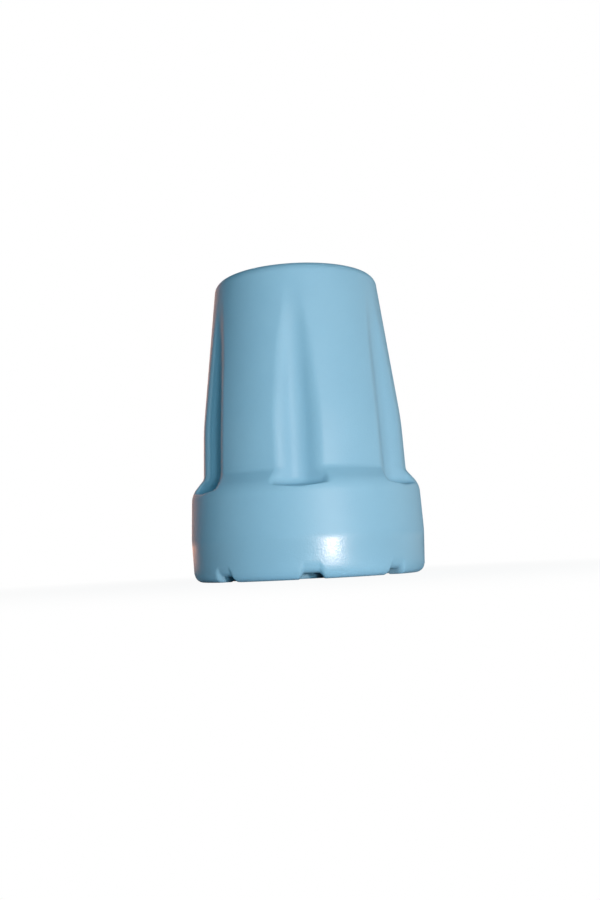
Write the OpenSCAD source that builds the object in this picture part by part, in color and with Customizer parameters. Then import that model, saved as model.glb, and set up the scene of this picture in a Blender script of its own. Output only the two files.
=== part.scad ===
// Rubber cane tip: the soft foot that is pressed onto the end of a walking stick.
// It is moulded in one piece: a foot with a grooved tread, a sloping shoulder, and a
// tapered barrel with upright flutes that run out just below the mouth.
// Lengths are in millimetres, +Z is up, and the origin is in the middle of the tread.

/* [Foot] */
// Radius of the foot at its widest line
foot_r = 21.03; // [19.5:0.01:24]
// Height of the widest line above the tread
foot_band_z = 7.6; // [5:0.1:9]
// Rounding of the widest line
foot_band_r = 24; // [2:1:30]
// How far the foot draws in from its widest line down to the tread
foot_toe_in = 0.3; // [0:0.05:0.6]
// How far the foot draws in from its widest line up to the shoulder
foot_draft = 0.35; // [0:0.05:0.8]
// Rounding of the tread's outer edge
tread_edge_r = 1.6; // [0.6:0.1:2]

/* [Shoulder] */
// Height of the shoulder's lower corner
shoulder_z = 15.7; // [13:0.1:17]
// Height of the sloping shoulder
shoulder_h = 2.7; // [2:0.1:4]
// Rounding of the shoulder's lower, outer corner
shoulder_r = 4; // [2:0.1:5]
// Fillet between the shoulder and the barrel
neck_r = 1.5; // [0.6:0.1:2.5]

/* [Barrel] */
// Height of the whole tip, from the tread to the rim of the mouth
tip_h = 54.5; // [50:0.5:60]
// Radius of the barrel where it meets the shoulder
barrel_r = 18.42; // [17.5:0.01:19.2]
// Radius of the barrel at its knee, where the steeper taper starts
knee_r = 18.08; // [17.3:0.01:18.4]
// Height of the knee
knee_z = 27.5; // [23:0.5:32]
// Rounding of the knee
knee_round_r = 60; // [20:1:80]
// Radius of the barrel at its mouth
mouth_r = 14.82; // [14:0.01:16]
// Rounding of the mouth's outer rim
rim_r = 1.9; // [0.5:0.1:2.5]

/* [Flutes] */
// Number of flutes round the barrel
flutes = 6; // [4:1:8]
// Distance from the axis to the floor of a flute, at the flute's foot
flute_floor_r = 16.84; // [16:0.01:17.4]
// Draft of the flute's floor, towards the axis as it rises
flute_draft = 2.8; // [2:0.1:4]
// Radius of a flute's round floor
flute_r = 3.3; // [2:0.1:5]
// Angle that each wall of a flute leans out
flute_lean = 60; // [50:1:64]
// Height of the ledge at the foot of a flute
flute_z = 15.7; // [14.5:0.1:17]
// Fillet between a flute and its ledge
flute_fillet_r = 1.2; // [0.4:0.1:2]
// Softness of the lips where the flutes meet the barrel
lip_r = 0.7; // [0.3:0.1:1.2]

/* [Bore] */
// Radius of the bore that grips the stick
bore_r = 9.5; // [8:0.05:11]
// Thickness of solid rubber under the end of the stick
sole_h = 16.5; // [10:0.5:24]
// Bevel that leads the stick into the bore
lead_in = 0.8; // [0.3:0.1:1.5]

/* [Tread] */
// Number of notches through the tread's outer land
notches = 8; // [4:1:12]
// Width of a notch at half its depth
notch_w = 3.4; // [2:0.1:5]
// Depth of a notch
notch_h = 1; // [0.5:0.1:1.6]
// Angle by which the notches are turned from the flutes
notch_turn = 3.5; // [-10:0.1:10]
// Number of ring grooves in the tread
grooves = 3; // [1:1:3]
// Width of a ring groove at the tread
groove_w = 1.8; // [1:0.1:2.4]
// Depth of a ring groove
groove_h = 1.4; // [0.6:0.1:2]
// Radius of the innermost ring groove
groove_r = 6; // [5:0.1:7]
// Distance from one ring groove to the next
groove_pitch = 4.8; // [4:0.1:5]

/* [Hidden] */
$fn = 96;

// Steps round each half flute, steps across half the plain wall beside it, and steps in an arc
flute_steps = 6;
wall_steps = 2;
arc_steps = 3;
// Slope of a notch's sides and of a groove's sides
side_lean = 25;
// Overlap that carries a cutter past the surface it cuts
over = 1;

// The outline's corners from the tread up, each with its radius, height and rounding
corners = [
    [0, 0, 0],
    [foot_r - foot_toe_in, 0, tread_edge_r],
    [foot_r, foot_band_z, foot_band_r],
    [foot_r - foot_draft, shoulder_z, shoulder_r],
    [barrel_r, shoulder_z + shoulder_h, neck_r],
    [knee_r, knee_z, knee_round_r],
    [mouth_r, tip_h, rim_r],
    [0, tip_h, 0],
];

// Direction of the line from a to b, as an angle
function heading(a, b) = atan2(b[1] - a[1], b[0] - a[0]);

// The arc that rounds the corner b between a and c
function rounding(a, b, c) =
    let (into = heading(a, b), turn = heading(b, c) - into, back = b[2] * tan(abs(turn) / 2),
         side = sign(turn), start = [b[0] - back * cos(into), b[1] - back * sin(into)],
         centre = start + side * b[2] * [-sin(into), cos(into)])
    [for (i = [0:arc_steps]) let (a = into + turn * i / arc_steps)
        centre + side * b[2] * [sin(a), -cos(a)]];

outline = [for (i = [1:len(corners) - 2]) each rounding(corners[i - 1], corners[i], corners[i + 1])];
radius_at = [for (p = outline) [p[1], p[0]]];

// Even steps from a up to, but not with, b
function steps(a, b, count) = [for (i = [0:count - 1]) a + (b - a) * i / count];

// Rise of the ledge across its width, so that it sheds water
ledge_rise = 0.2;
// Least distance from the fillet at the foot of the flutes to the next ring above it
ring_gap = 0.3;
// Where that fillet and the neck have ended, and where the rim's rounding starts
fillet_top = flute_z + ledge_rise + flute_fillet_r + ring_gap;
neck_top = shoulder_z + shoulder_h + neck_r;
rim_z = outline[len(outline) - arc_steps - 1][1];

// Each ring of the loft has the outline's radius, its height, and how far the flutes are filled there:
// right up below their ledge, by a fillet just above it, and not at all from there on
rings = concat(
    [for (p = outline) if (p[1] < flute_z - ledge_rise) [p[0], p[1], foot_r]],
    [[lookup(flute_z, radius_at), flute_z, foot_r]],
    [for (a = [0:30:90]) let (z = flute_z + ledge_rise + flute_fillet_r * (1 - cos(a)))
        [lookup(z, radius_at), z, flute_fillet_r * (1 - sin(a))]],
    [for (z = concat(steps(fillet_top, neck_top, 4), steps(neck_top, knee_z, 2), steps(knee_z, rim_z, 7)))
        [lookup(z, radius_at), z, 0]],
    [for (p = outline) if (p[1] >= rim_z) [p[0], p[1], 0]]
);

// Distance from the axis to a flute's floor at height z
function floor_at(z) = flute_floor_r - tan(flute_draft) * (z - flute_z);

// Distance by which a flute's straight wall would miss the axis, where its floor is at floor_r
function wall_gap(floor_r) = (floor_r + flute_r) * sin(flute_lean) - flute_r;

// Distance from the axis to a flute's surface, at an angle a from the flute's middle:
// the round floor first, and then the wall that runs on straight from it
function flute_surface(floor_r, a) =
    let (middle_r = floor_r + flute_r)
    a < atan2(flute_r * cos(flute_lean), middle_r - flute_r * sin(flute_lean))
        ? middle_r * cos(a) - sqrt(pow(flute_r, 2) - pow(middle_r * sin(a), 2))
        : wall_gap(floor_r) / sin(flute_lean - a);

// Half the angle that a flute takes up at its widest, with its soft lips
flute_half = flute_lean - asin(wall_gap(flute_floor_r) / (foot_r + lip_r));

// Angles round one flute's share of the ring, from the middle of one flute to the next
half_angles = concat(steps(0, flute_half, flute_steps), steps(flute_half, 180 / flutes, wall_steps));
share = concat(half_angles, [180 / flutes], [for (i = [len(half_angles) - 1:-1:1]) 360 / flutes - half_angles[i]]);
angles = [for (f = [0:flutes - 1], a = share) a + f * 360 / flutes];

// The smaller of two radii, with the corner between them rounded off
function soft_min(a, b, softness) =
    min(a, b) - pow(max(softness - abs(a - b), 0), 2) / (4 * softness);

// Radius of the skin at an angle, on a ring that has a radius, a height and a fill.
// The lips are no softer than the flute is deep, so that it runs out cleanly
function skin(ring, angle) =
    let (turn = 360 / flutes, a = abs((angle + turn / 2) % turn - turn / 2),
         floor_r = floor_at(ring[1]), depth = ring[0] - floor_r - ring[2])
    a >= flute_half || depth <= 0
        ? ring[0]
        : soft_min(ring[0], flute_surface(floor_r, a) + ring[2], min(lip_r, depth));

// The moulded skin: a loft through all the rings, closed by flat ends
module skin_loft() {
    count = len(angles);
    points = [for (ring = rings, a = angles) let (r = skin(ring, a)) [r * sin(a), -r * cos(a), ring[1]]];
    sides = [for (i = [0:len(rings) - 2], j = [0:count - 1]) let (k = (j + 1) % count)
        each [[i * count + j, (i + 1) * count + j, i * count + k],
              [i * count + k, (i + 1) * count + j, (i + 1) * count + k]]];
    bottom = [for (j = [0:count - 1]) j];
    top = [for (j = [count - 1:-1:0]) (len(rings) - 1) * count + j];
    polyhedron(points, concat([bottom, top], sides));
}

// The blind bore, with a bevel at its mouth
module bore_cut() {
    translate([0, 0, sole_h]) cylinder(h = tip_h - sole_h + over, r = bore_r);
    translate([0, 0, tip_h - lead_in]) cylinder(h = lead_in + over, r1 = bore_r, r2 = bore_r + lead_in + over);
}

// A channel's section, w wide at half its depth h, with leaning sides
module channel(w, h) {
    lean = tan(side_lean);
    polygon([[-w / 2 - lean * (h / 2 + over), -over], [w / 2 + lean * (h / 2 + over), -over],
             [w / 2 - lean * h / 2, h], [-w / 2 + lean * h / 2, h]]);
}

// Ring grooves and notches in the tread
module tread_cut() {
    outer_groove_r = groove_r + (grooves - 1) * groove_pitch;
    for (i = [0:grooves - 1]) {
        rotate_extrude() translate([groove_r + i * groove_pitch, 0]) channel(groove_w, groove_h);
    }
    for (i = [0:notches - 1]) {
        rotate([90, 0, notch_turn + i * 360 / notches])
            translate([0, 0, outer_groove_r])
            linear_extrude(height = foot_r - outer_groove_r + over) channel(notch_w, notch_h);
    }
}

module cane_tip() {
    color("lightblue")
    difference() {
        skin_loft();
        bore_cut();
        tread_cut();
    }
}

cane_tip();
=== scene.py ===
import math

import bpy
from mathutils import Matrix, Vector


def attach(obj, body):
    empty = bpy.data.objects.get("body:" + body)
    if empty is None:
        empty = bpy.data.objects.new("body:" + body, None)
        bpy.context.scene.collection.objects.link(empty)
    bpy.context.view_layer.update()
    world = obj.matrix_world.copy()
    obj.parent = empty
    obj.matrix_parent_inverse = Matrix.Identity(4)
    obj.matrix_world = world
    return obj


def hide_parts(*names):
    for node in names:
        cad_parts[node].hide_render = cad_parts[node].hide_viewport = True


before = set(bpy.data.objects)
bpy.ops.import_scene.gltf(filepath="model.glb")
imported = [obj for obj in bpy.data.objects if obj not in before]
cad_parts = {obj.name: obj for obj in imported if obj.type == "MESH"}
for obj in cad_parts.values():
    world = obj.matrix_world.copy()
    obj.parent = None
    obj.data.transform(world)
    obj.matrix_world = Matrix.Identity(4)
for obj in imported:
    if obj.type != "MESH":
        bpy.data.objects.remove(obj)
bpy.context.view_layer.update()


# The cane tip. It is one compression moulding in synthetic rubber: a foot with a grooved and
# notched tread, a sloping shoulder, and a tapered barrel with six upright flutes and a blind bore.
# Its sizes are in millimetres, and MM turns them to metres.
MM = 0.001
FOOT_R, TOE_R, BAND_Z, EDGE_R = 21.027, 20.727, 7.6, 1.6
SHOULDER_Z, SHOULDER_H, NECK_ROUND = 15.7, 2.7, 1.5
KNEE_Z, TIP_H = 27.5, 54.5
# The outline's corners from the tread up, each with its radius, height and rounding
OUTLINE_CORNERS = [
    (0, 0, 0),
    (TOE_R, 0, EDGE_R),
    (FOOT_R, BAND_Z, 24),
    (FOOT_R - 0.35, SHOULDER_Z, 4),
    (18.42, SHOULDER_Z + SHOULDER_H, NECK_ROUND),
    (18.08, KNEE_Z, 60),
    (14.82, TIP_H, 1.9),
    (0, TIP_H, 0),
]
# The flutes: the place and slope of their floor, its round section with leaning walls, and the
# ledge at the foot
FLUTES, FLUTE_FLOOR_R, FLUTE_DRAFT = 6, 16.86, math.tan(math.radians(2.8))
FLUTE_R, FLUTE_LEAN, LIP_R = 3.3, math.radians(60), 1.0
FLUTE_Z, FLUTE_FILLET_R, LEDGE_RISE, LEDGE_EDGE_R = 15.4, 1.4, 0.2, 1.1
# Depth below which a flute fades out, and depth over which its lips are blunt at the shoulder
RUN_OUT, BLUNT = 0.8, 1.3
# The bore, with the soft edges of the bevel at its mouth and the fillet at its floor
BORE_R, SOLE_H, BORE_FILLET_R = 9.5, 16.5, 0.6
LEAD_IN, MOUTH_EDGE_W, MOUTH_EDGE_H, BEVEL_EDGE_H = 0.8, 0.25, 0.07, 0.2
# The tread: ring grooves, and notches through the land outside them
GROOVE_RADII, GROOVE_W, GROOVE_H = (6.0, 10.8, 15.6), 1.8, 1.4
NOTCHES, NOTCH_W, NOTCH_H, NOTCH_TURN = 8, 3.4, 1.0, math.radians(3.5)
SIDE_LEAN = math.tan(math.radians(25))


def rounding(a, b, c, steps):
    """Points on the arc that rounds the corner b between a and c."""
    into = math.atan2(b[1] - a[1], b[0] - a[0])
    turn = math.atan2(c[1] - b[1], c[0] - b[0]) - into
    back = b[2] * math.tan(abs(turn) / 2)
    side = math.copysign(b[2], turn)
    start = (b[0] - back * math.cos(into), b[1] - back * math.sin(into))
    centre = (start[0] - side * math.sin(into), start[1] + side * math.cos(into))
    angles = [into + turn * i / steps for i in range(steps + 1)]
    return [(centre[0] + side * math.sin(t), centre[1] - side * math.cos(t)) for t in angles]


def spread(a, b, count):
    """Even steps from a up to, but not with, b."""
    return [a + (b - a) * i / count for i in range(count)]


arcs = [rounding(*OUTLINE_CORNERS[i - 1:i + 2], 12) for i in range(1, len(OUTLINE_CORNERS) - 1)]
outline = [p for arc in arcs for p in arc]
rim = arcs[-1]


def outline_r(z):
    """Radius of the turned outline at height z."""
    for (r0, z0), (r1, z1) in zip(outline, outline[1:]):
        if z0 <= z <= z1 and z1 > z0:
            return r0 + (r1 - r0) * (z - z0) / (z1 - z0)
    return outline[-1][0] if z > outline[-1][1] else outline[0][0]


def wall_gap(middle_r):
    """Distance by which a flute's straight wall would miss the axis."""
    return middle_r * math.sin(FLUTE_LEAN) - FLUTE_R


# Half the angle that a flute takes up at its widest, with its soft lips
FLUTE_HALF = FLUTE_LEAN - math.asin(wall_gap(FLUTE_FLOOR_R + FLUTE_R) / (FOOT_R + LIP_R))


def flute_surface(floor_r, a):
    """Distance from the axis to a flute's surface, at an angle a from its middle."""
    middle_r = floor_r + FLUTE_R
    if a < math.atan2(FLUTE_R * math.cos(FLUTE_LEAN), middle_r - FLUTE_R * math.sin(FLUTE_LEAN)):
        return middle_r * math.cos(a) - math.sqrt(FLUTE_R ** 2 - (middle_r * math.sin(a)) ** 2)
    return wall_gap(middle_r) / math.sin(FLUTE_LEAN - a)


def soft_min(a, b, softness):
    """The smaller of two radii, with the corner between them rounded off."""
    return min(a, b) - max(softness - abs(a - b), 0) ** 2 / (4 * softness)


def smooth(t):
    """An even change from 0 to 1 as t goes from 0 to 1, with soft ends."""
    t = min(max(t, 0), 1)
    return t * t * (3 - 2 * t)


def off_centre(angle, count):
    """Angle to the nearest of count even places round the axis."""
    turn = 2 * math.pi / count
    return (angle + turn / 2) % turn - turn / 2


def floor_at(z):
    """Distance from the axis to a flute's floor at height z."""
    return FLUTE_FLOOR_R - FLUTE_DRAFT * (z - FLUTE_Z)


def fluted(r, z, fill, angle):
    """Radius of the skin, where the outline has radius r and the flute is filled by fill."""
    a = abs(off_centre(angle, FLUTES))
    floor_r = floor_at(z)
    depth = r - floor_r - fill
    if a >= FLUTE_HALF or depth <= 0:
        return r
    cut = r - soft_min(r, flute_surface(floor_r, a) + fill, min(LIP_R, depth))
    # Above the shoulder next to nothing is left of the bluntness.
    blunt = max(BLUNT * (1 - smooth((z - SHOULDER_Z) / SHOULDER_H)), 0.01)
    return r - cut * smooth(depth / RUN_OUT) * smooth(cut / blunt)


def channel(offset, width, depth):
    """Height of a leaning-sided channel's ceiling at an offset from its middle, with soft corners."""
    lean = SIDE_LEAN * depth
    return depth * smooth((width / 2 + lean - abs(offset)) / (2 * lean))


def notch(r, angle):
    """Height of the tread's notches at a place on its outer land."""
    return channel(r * math.sin(off_centre(angle - NOTCH_TURN, NOTCHES)), NOTCH_W, NOTCH_H)


def tread_row(r):
    """A row of the underside, with the ring grooves and the notches in it."""
    groove = max(channel(r - g, GROOVE_W, GROOVE_H) for g in GROOVE_RADII)
    outside = r > GROOVE_RADII[-1]
    return lambda angle: (r, max(groove, notch(r, angle)) if outside else groove)


def edge_row(bend):
    """A row of the tread's rounded outer edge, which follows the notches up."""
    r = TOE_R - EDGE_R * (1 - math.sin(bend))
    return lambda angle: (r, notch(r, angle) + EDGE_R * (1 - math.cos(bend)))


def foot_row(z):
    """A row of the foot's wall, squeezed upwards over the notches."""
    def place(angle):
        lift = notch(FOOT_R, angle) * (BAND_Z - z) / (BAND_Z - EDGE_R)
        return outline_r(z + lift), z + lift
    return place


def plain_row(r, z):
    """A round row."""
    return lambda angle: (r, z)


def barrel_row(r, z, fill=0.0):
    """A row of the barrel, with the flutes in it."""
    return lambda angle: (fluted(r, z, fill, angle), z)


def ledge_row(z, depth):
    """A row of the ledges at the foot of the flutes, where they are cut to a depth."""
    r = outline_r(z)
    return barrel_row(r, z, r - floor_at(z) - depth)


# The mesh is made of rows, from the middle of the tread outwards, up the outside, over the rim and
# down the bore. A row gives the radius and the height at an angle round the axis. The rows stop
# short of the axis, and they lie closer on both sides of the foot's widest line.
TREAD_FAN_R, BORE_FAN_R = 0.6, 0.5
BAND_W = 0.6
half_groove = GROOVE_W / 2 + SIDE_LEAN * GROOVE_H
land_ends = [groove_r - half_groove for groove_r in GROOVE_RADII] + [TOE_R - EDGE_R]
rows = [tread_row(r) for r in spread(TREAD_FAN_R, land_ends[0], 4)]
for groove_r, land_end in zip(GROOVE_RADII, land_ends[1:]):
    rows += [tread_row(r) for r in spread(groove_r - half_groove, groove_r + half_groove, 14)]
    rows += [tread_row(r) for r in spread(groove_r + half_groove, land_end, 4)]
rows += [edge_row(bend) for bend in spread(0, math.pi / 2, 8)]
below_band = spread(EDGE_R, BAND_Z - BAND_W, 8) + spread(BAND_Z - BAND_W, BAND_Z, 2)
rows += [foot_row(z) for z in below_band]
ledge_start = FLUTE_Z - LEDGE_EDGE_R
above_band = spread(BAND_Z, BAND_Z + BAND_W, 2) + spread(BAND_Z + BAND_W, ledge_start, 10)
rows += [plain_row(outline_r(z), z) for z in above_band]

# The ledge of a flute has a rounded edge, a gentle slope inwards, and a fillet up to the floor.
for bend in spread(0, math.pi / 2, 8):
    depth = LEDGE_EDGE_R * (1 - math.cos(bend))
    rows.append(ledge_row(ledge_start + LEDGE_EDGE_R * math.sin(bend), depth))
ledge_end = FLUTE_Z + LEDGE_RISE
ledge_w = outline_r(ledge_end) - floor_at(ledge_end) - FLUTE_FILLET_R
for share in spread(0, 1, 7):
    rows.append(ledge_row(FLUTE_Z + LEDGE_RISE * share, LEDGE_EDGE_R + (ledge_w - LEDGE_EDGE_R) * share))
for bend in spread(0, math.pi / 2, 8):
    z = ledge_end + FLUTE_FILLET_R * (1 - math.cos(bend))
    rows.append(barrel_row(outline_r(z), z, FLUTE_FILLET_R * (1 - math.sin(bend))))

# The barrel, past the neck and the knee to the rim
fillet_top = ledge_end + FLUTE_FILLET_R
neck_top = SHOULDER_Z + SHOULDER_H + NECK_ROUND
knee_top = KNEE_Z + 3
rim_z = rim[0][1]
upright = spread(fillet_top, neck_top, 14) + spread(neck_top, knee_top, 12) + spread(knee_top, rim_z, 26)
rows += [barrel_row(outline_r(z), z) for z in upright]
rows += [barrel_row(r, z) for r, z in rim]

# The flat top, the bevel and the bore, down to its floor
mouth_r = BORE_R + LEAD_IN
rows += [plain_row(r, TIP_H) for r in spread(rim[-1][0], mouth_r + MOUTH_EDGE_W, 3)[1:]]
for t in spread(0, 1, 3):
    rows.append(plain_row(mouth_r + MOUTH_EDGE_W * (1 - t), TIP_H - MOUTH_EDGE_H * t * t))
rows += [plain_row(mouth_r - t, TIP_H - MOUTH_EDGE_H - t) for t in spread(0, LEAD_IN - BEVEL_EDGE_H, 3)]
bore_top = TIP_H - LEAD_IN - BEVEL_EDGE_H
rows += [plain_row(BORE_R, z) for z in spread(bore_top, SOLE_H + BORE_FILLET_R, 12)]
for bend in spread(0, math.pi / 2, 4):
    r = BORE_R - BORE_FILLET_R * (1 - math.cos(bend))
    rows.append(plain_row(r, SOLE_H + BORE_FILLET_R * (1 - math.sin(bend))))
rows += [plain_row(r, SOLE_H) for r in spread(BORE_R - BORE_FILLET_R, BORE_FAN_R, 3)]

COLUMNS = 480
points = []
for row in rows:
    for column in range(COLUMNS):
        angle = 2 * math.pi * column / COLUMNS
        r, z = row(angle)
        points.append((r * math.sin(angle) * MM, -r * math.cos(angle) * MM, z * MM))
faces = []
for i in range(len(rows) - 1):
    for j in range(COLUMNS):
        k = (j + 1) % COLUMNS
        faces.append((i * COLUMNS + j, i * COLUMNS + k, (i + 1) * COLUMNS + k, (i + 1) * COLUMNS + j))
# A fan of triangles closes the mesh in the middle of the tread, and one on the floor of the bore.
for first, z, order in ((0, 0, -1), ((len(rows) - 1) * COLUMNS, SOLE_H * MM, 1)):
    middle = len(points)
    points.append((0, 0, z))
    for j in range(COLUMNS):
        pair = (first + j, first + (j + 1) % COLUMNS)
        faces.append((middle,) + pair[::order])

mesh = bpy.data.meshes.new("cane_tip_moulding")
mesh.from_pydata(points, [], faces)
mesh.validate()
mesh.shade_smooth()
cane_tip = bpy.data.objects.new("cane_tip_moulding", mesh)
bpy.context.scene.collection.objects.link(cane_tip)


def linear(hex_colour):
    """An sRGB hex colour as linear red, green, blue and alpha."""
    channels = [int(hex_colour[i:i + 2], 16) / 255 for i in (1, 3, 5)]
    return tuple(c / 12.92 if c <= 0.04045 else ((c + 0.055) / 1.055) ** 2.4 for c in channels) + (1,)


def add_node(tree, kind, settings, inputs):
    """Adds a node. Each of its inputs gets a value, or a link from another node's output."""
    node = tree.nodes.new(kind)
    for name, value in settings.items():
        setattr(node, name, value)
    for key, value in inputs.items():
        if isinstance(value, bpy.types.NodeSocket):
            tree.links.new(value, node.inputs[key])
        else:
            node.inputs[key].default_value = value
    return node


# Synthetic rubber, compression moulded: a smooth, slightly waxy satin in light blue.
moulded_rubber = bpy.data.materials.new("moulded_rubber_satin")
moulded_rubber.use_nodes = True
tree = moulded_rubber.node_tree
tree.nodes.clear()
place = add_node(tree, "ShaderNodeTexCoord", {}, {}).outputs["Object"]
# The pigment isn't mixed quite evenly, which shows as faint clouds some 9 mm across. In a mix of
# colours, inputs 6 and 7 are the two colours, and output 2 is the result.
clouds = add_node(
    tree, "ShaderNodeTexNoise", {},
    {"Vector": place, "Scale": 1 / (9 * MM), "Detail": 3.0, "Roughness": 0.55}
)
colour = add_node(
    tree, "ShaderNodeMix", {"data_type": "RGBA"},
    {0: clouds.outputs["Fac"], 6: linear("#8AB5CB"), 7: linear("#93BDD1")}
)
# The skin of the mould: a slight ripple 2 mm across, and a fine grain of 0.3 mm, which breaks up
# the edge of the highlight.
ripple = add_node(
    tree, "ShaderNodeTexNoise", {}, {"Vector": place, "Scale": 1 / (2 * MM), "Detail": 2.0}
)
grain = add_node(
    tree, "ShaderNodeTexNoise", {}, {"Vector": place, "Scale": 1 / (0.3 * MM), "Detail": 2.0}
)
ripple_bump = add_node(
    tree, "ShaderNodeBump", {},
    {"Strength": 0.25, "Distance": 0.03 * MM, "Height": ripple.outputs["Fac"]}
)
grain_bump = add_node(
    tree, "ShaderNodeBump", {},
    {
        "Strength": 0.8,
        "Distance": 0.025 * MM,
        "Height": grain.outputs["Fac"],
        "Normal": ripple_bump.outputs["Normal"],
    }
)
# The ring of the mould round the tread is polished, and the rest of it is blasted: below the
# foot's widest line the rubber shines, and above it the skin is a soft satin. Wear has dulled the
# shine towards the tread.
height = add_node(tree, "ShaderNodeSeparateXYZ", {}, {"Vector": place}).outputs["Z"]
polished = add_node(
    tree, "ShaderNodeMapRange", {"interpolation_type": "SMOOTHSTEP"},
    {"Value": height, "From Min": (BAND_Z - 0.1) * MM, "From Max": (BAND_Z - 1.5) * MM}
)
unworn = add_node(
    tree, "ShaderNodeMapRange", {"interpolation_type": "SMOOTHSTEP"},
    {"Value": height, "From Min": 0.3 * MM, "From Max": 4.6 * MM, "To Min": 0.25}
)
shine = add_node(
    tree, "ShaderNodeMath", {"operation": "MULTIPLY"},
    {0: polished.outputs["Result"], 1: unworn.outputs["Result"]}
)
finish = add_node(
    tree, "ShaderNodeMapRange", {}, {"Value": shine.outputs[0], "To Min": 0.5, "To Max": 0.31}
)
gloss = add_node(
    tree, "ShaderNodeMapRange", {}, {"Value": shine.outputs[0], "To Min": 0.5, "To Max": 1.0}
)
surface = add_node(
    tree, "ShaderNodeBsdfPrincipled", {},
    {
        "Base Color": colour.outputs[2],
        "Roughness": finish.outputs["Result"],
        "IOR": 1.5,
        "Specular IOR Level": gloss.outputs["Result"],
        "Normal": grain_bump.outputs["Normal"],
    }
)
add_node(tree, "ShaderNodeOutputMaterial", {}, {"Surface": surface.outputs["BSDF"]})
mesh.materials.append(moulded_rubber)

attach(cane_tip, "root")
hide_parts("cane_tip")


# The surface that the tip stands on: a sheet of white card. It takes a faint shadow close to the
# tip, and it shows as plain white farther away.
FLOOR_HALF = 3.0
floor_corners = [(x * FLOOR_HALF, y * FLOOR_HALF, 0) for x, y in ((-1, -1), (1, -1), (1, 1), (-1, 1))]
floor_mesh = bpy.data.meshes.new("floor")
floor_mesh.from_pydata(floor_corners, [], [(0, 1, 2, 3)])
floor = bpy.data.objects.new("floor", floor_mesh)
bpy.context.scene.collection.objects.link(floor)

white_card = bpy.data.materials.new("white_card")
white_card.use_nodes = True
tree = white_card.node_tree
tree.nodes.clear()
lit = add_node(tree, "ShaderNodeBsdfDiffuse", {}, {"Color": linear("#F4F4F4")})
plain_white = add_node(tree, "ShaderNodeEmission", {}, {"Color": linear("#FFFFFF"), "Strength": 1.0})
path = add_node(tree, "ShaderNodeLightPath", {}, {})
place = add_node(tree, "ShaderNodeTexCoord", {}, {}).outputs["Object"]
away = add_node(tree, "ShaderNodeVectorMath", {"operation": "LENGTH"}, {0: place})
whiteness = add_node(
    tree, "ShaderNodeMapRange", {"interpolation_type": "SMOOTHSTEP"},
    {"Value": away.outputs["Value"], "From Min": 20 * MM, "From Max": 110 * MM, "To Min": 0.93}
)
share = add_node(
    tree, "ShaderNodeMath", {"operation": "MULTIPLY"},
    {0: path.outputs["Is Camera Ray"], 1: whiteness.outputs["Result"]}
)
seen = add_node(
    tree, "ShaderNodeMixShader", {},
    {0: share.outputs[0], 1: lit.outputs["BSDF"], 2: plain_white.outputs["Emission"]}
)
add_node(tree, "ShaderNodeOutputMaterial", {}, {"Surface": seen.outputs["Shader"]})
floor_mesh.materials.append(white_card)


# The world. It lights the tip dimly from all round, in the blue green of the room's shadows, and
# the camera sees it as plain white.
world = bpy.data.worlds.new("even_light")
bpy.context.scene.world = world
world.use_nodes = True
tree = world.node_tree
tree.nodes.clear()
path = add_node(tree, "ShaderNodeLightPath", {}, {})
shown = add_node(
    tree, "ShaderNodeMix", {"data_type": "RGBA"},
    {0: path.outputs["Is Camera Ray"], 6: linear("#294E59"), 7: linear("#FFFFFF")}
)
sky = add_node(tree, "ShaderNodeBackground", {}, {"Color": shown.outputs[2], "Strength": 1.0})
add_node(tree, "ShaderNodeOutputWorld", {}, {"Surface": sky.outputs["Background"]})


# The lamps. The camera's own small lamp, to the right of its lens, gives the highlight on the
# foot. Soft light from the room comes from the front, the left, the right and above, and a warm
# light from behind on the left shows along the edge on that side.
AIM = Vector((0, 0, 20 * MM))
# The nearest flute lies this much to the left of the line from the camera to the axis.
AROUND = math.radians(2.5)


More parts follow.
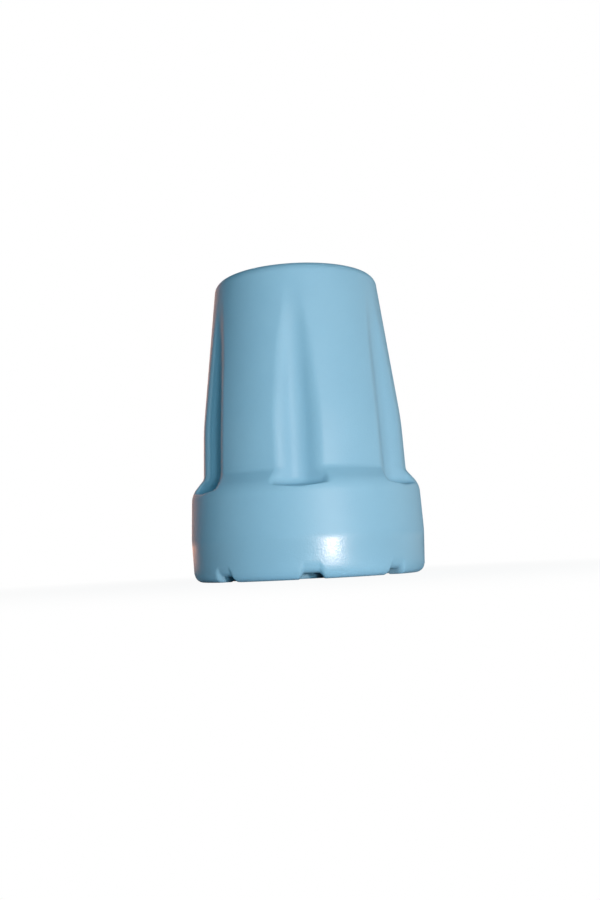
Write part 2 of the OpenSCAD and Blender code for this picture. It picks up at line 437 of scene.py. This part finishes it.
def lamp(name, azimuth, distance, height, width, power, colour):
    """A round lamp that faces the tip. Azimuth 0 is on the camera's side, and 90 to its right."""
    light = bpy.data.lights.new(name, "AREA")
    light.shape = "DISK"
    light.size = width
    light.energy = power
    light.color = linear(colour)[:3]
    lamp_object = bpy.data.objects.new(name, light)
    turn = Matrix.Rotation(AROUND + math.radians(azimuth), 4, "Z")
    lamp_object.location = turn @ Vector((0, -distance, height))
    lamp_object.rotation_euler = (AIM - lamp_object.location).to_track_quat("-Z", "Y").to_euler()
    bpy.context.scene.collection.objects.link(lamp_object)
    return lamp_object


lamp("camera_lamp", 21.5, 300 * MM, 16 * MM, 9 * MM, 0.51, "#FFEBE4")
room_front = lamp("room_front", 11, 190 * MM, 12 * MM, 30 * MM, 0.122, "#D4F4FF")
lamp("room_left", -55, 600 * MM, 90 * MM, 300 * MM, 0.15, "#70E4FF")
lamp("room_right", 120, 600 * MM, 90 * MM, 600 * MM, 0.95, "#E7F9FF")
lamp("warm_behind", -152, 400 * MM, 110 * MM, 280 * MM, 0.46, "#FFB08A")
lamp("room_above", 0, 200 * MM, 600 * MM, 300 * MM, 0.48, "#A0E6FF")
# The light from the front stands for too wide a part of the room to show as a highlight.
room_front.visible_glossy = False


# The camera. The photograph was taken from close by, with the lens just above the surface that
# the tip stands on, tilted up a little and held a few degrees off level. Its place and lens are
# fitted to the outline of the tip.
DISTANCE = 186.8 * MM
EYE_HEIGHT = 3.63 * MM
LENS_MM = 40.92
SENSOR_MM = 36.0
PITCH_UP = math.radians(5.98)
TURN_LEFT = math.radians(0.20)
ROLL = math.radians(2.88)

camera = bpy.data.objects.new("camera", bpy.data.cameras.new("camera"))
camera.data.sensor_fit = "VERTICAL"
camera.data.sensor_height = SENSOR_MM
camera.data.lens = LENS_MM
camera.data.clip_start = 5 * MM
camera.data.clip_end = 20
camera.matrix_world = (
    Matrix.Rotation(AROUND, 4, "Z")
    @ Matrix.Translation((0, -DISTANCE, EYE_HEIGHT))
    @ Matrix.Rotation(TURN_LEFT, 4, "Z")
    @ Matrix.Rotation(math.pi / 2 + PITCH_UP, 4, "X")
    @ Matrix.Rotation(-ROLL, 4, "Z")
)
bpy.context.scene.collection.objects.link(camera)
bpy.context.scene.camera = camera
bpy.context.scene.view_settings.view_transform = "Standard"
